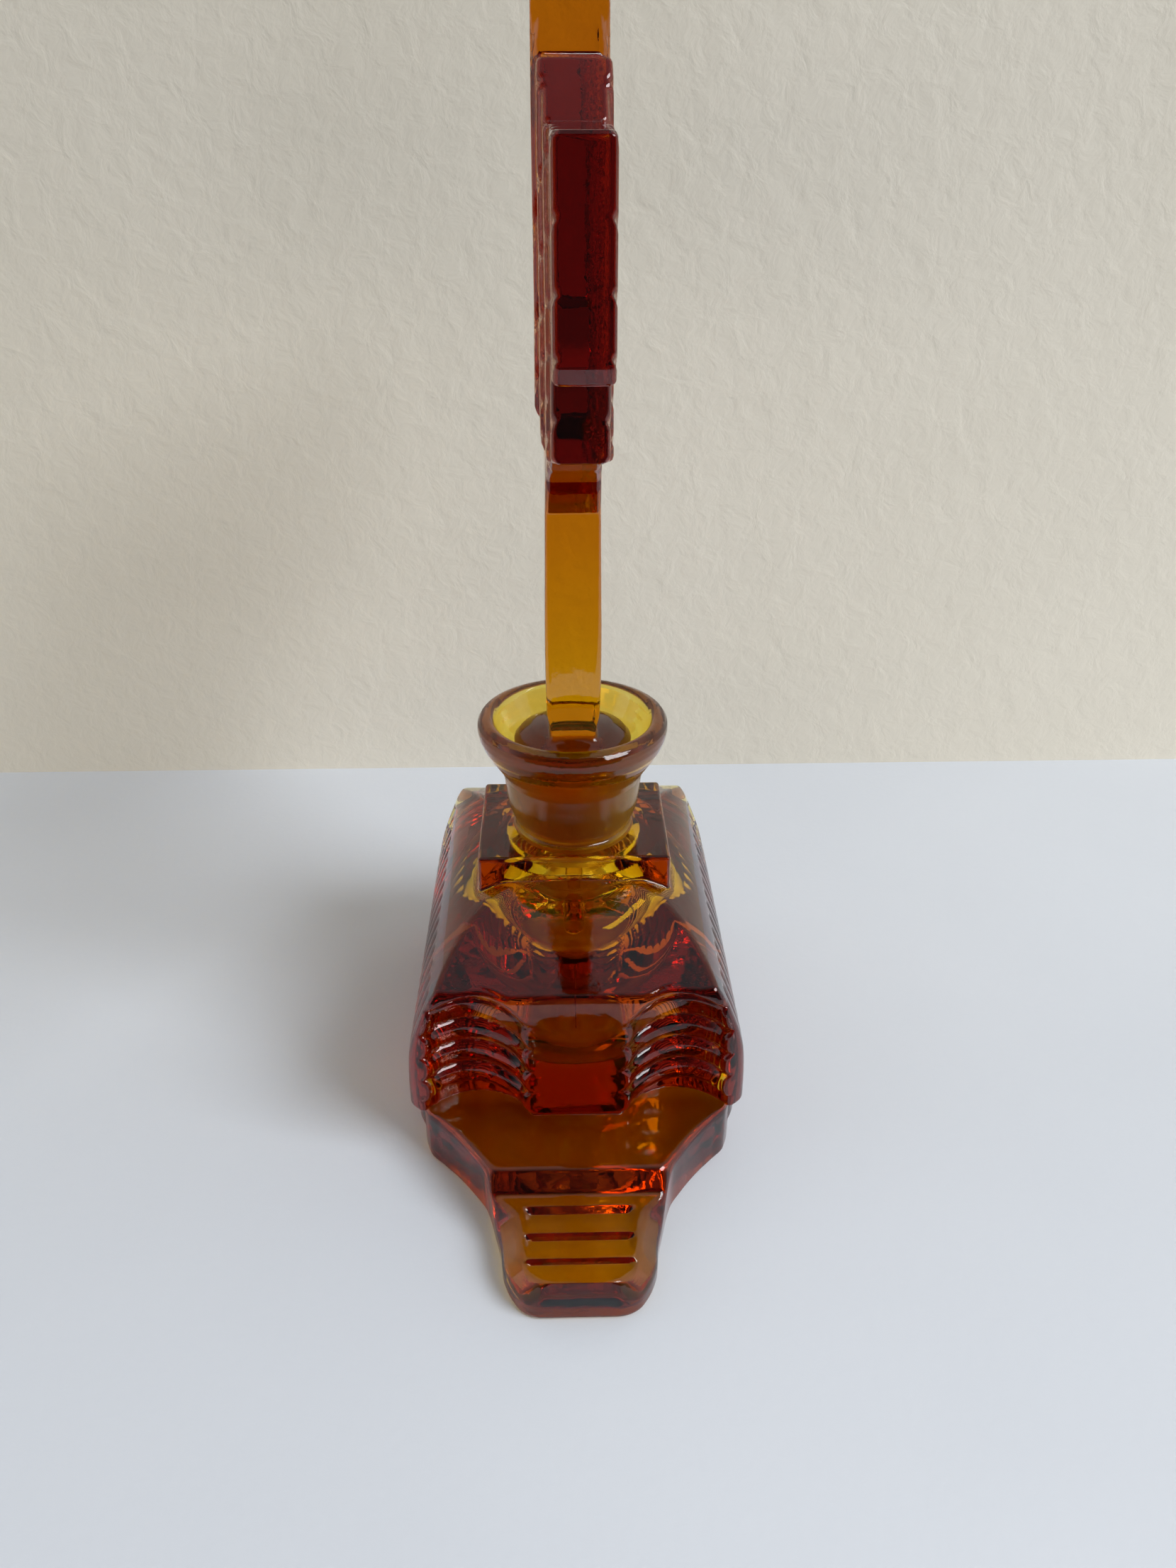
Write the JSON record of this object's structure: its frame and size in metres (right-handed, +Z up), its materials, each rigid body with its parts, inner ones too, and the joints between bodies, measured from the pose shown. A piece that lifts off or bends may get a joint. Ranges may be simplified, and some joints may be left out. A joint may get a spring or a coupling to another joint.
{
  "type": "perfume bottle",
  "caption": "Art Deco amber pressed glass perfume bottle on a tongued plinth, with a flat fan-shaped glass stopper, a round ground plug and a dauber rod.",
  "frame": {"origin": "centre of the plinth's underside, which is also under the neck's axis", "axes": "+Z up along the neck, X along the long side of the bottle and of the stopper's plaque, Y through their thickness"},
  "size_m": [0.0982, 0.0426, 0.128],
  "materials": {
    "bottle_glass": "clear amber pressed glass, ground satin seat in the neck",
    "stopper_glass": "clear amber pressed glass, ground satin plug",
    "rod_glass": "clear amber drawn glass"
  },
  "bodies": {
    "bottle": {"bottle": "bottle_glass"},
    "dauber": {"dauber_rod": "rod_glass"},
    "stopper": {"stopper": "stopper_glass"}
  },
  "joints": [
    {"name": "stopper_lift", "type": "slide", "parent": "bottle", "child": "dauber", "axis": [0, 0, 1], "range_m": [0, 0.045]},
    {"name": "stopper_turn", "type": "hinge", "parent": "dauber", "child": "stopper", "pos_m": [0, 0, 0.042], "axis": [0, 0, 1], "continuous": true}
  ]
}
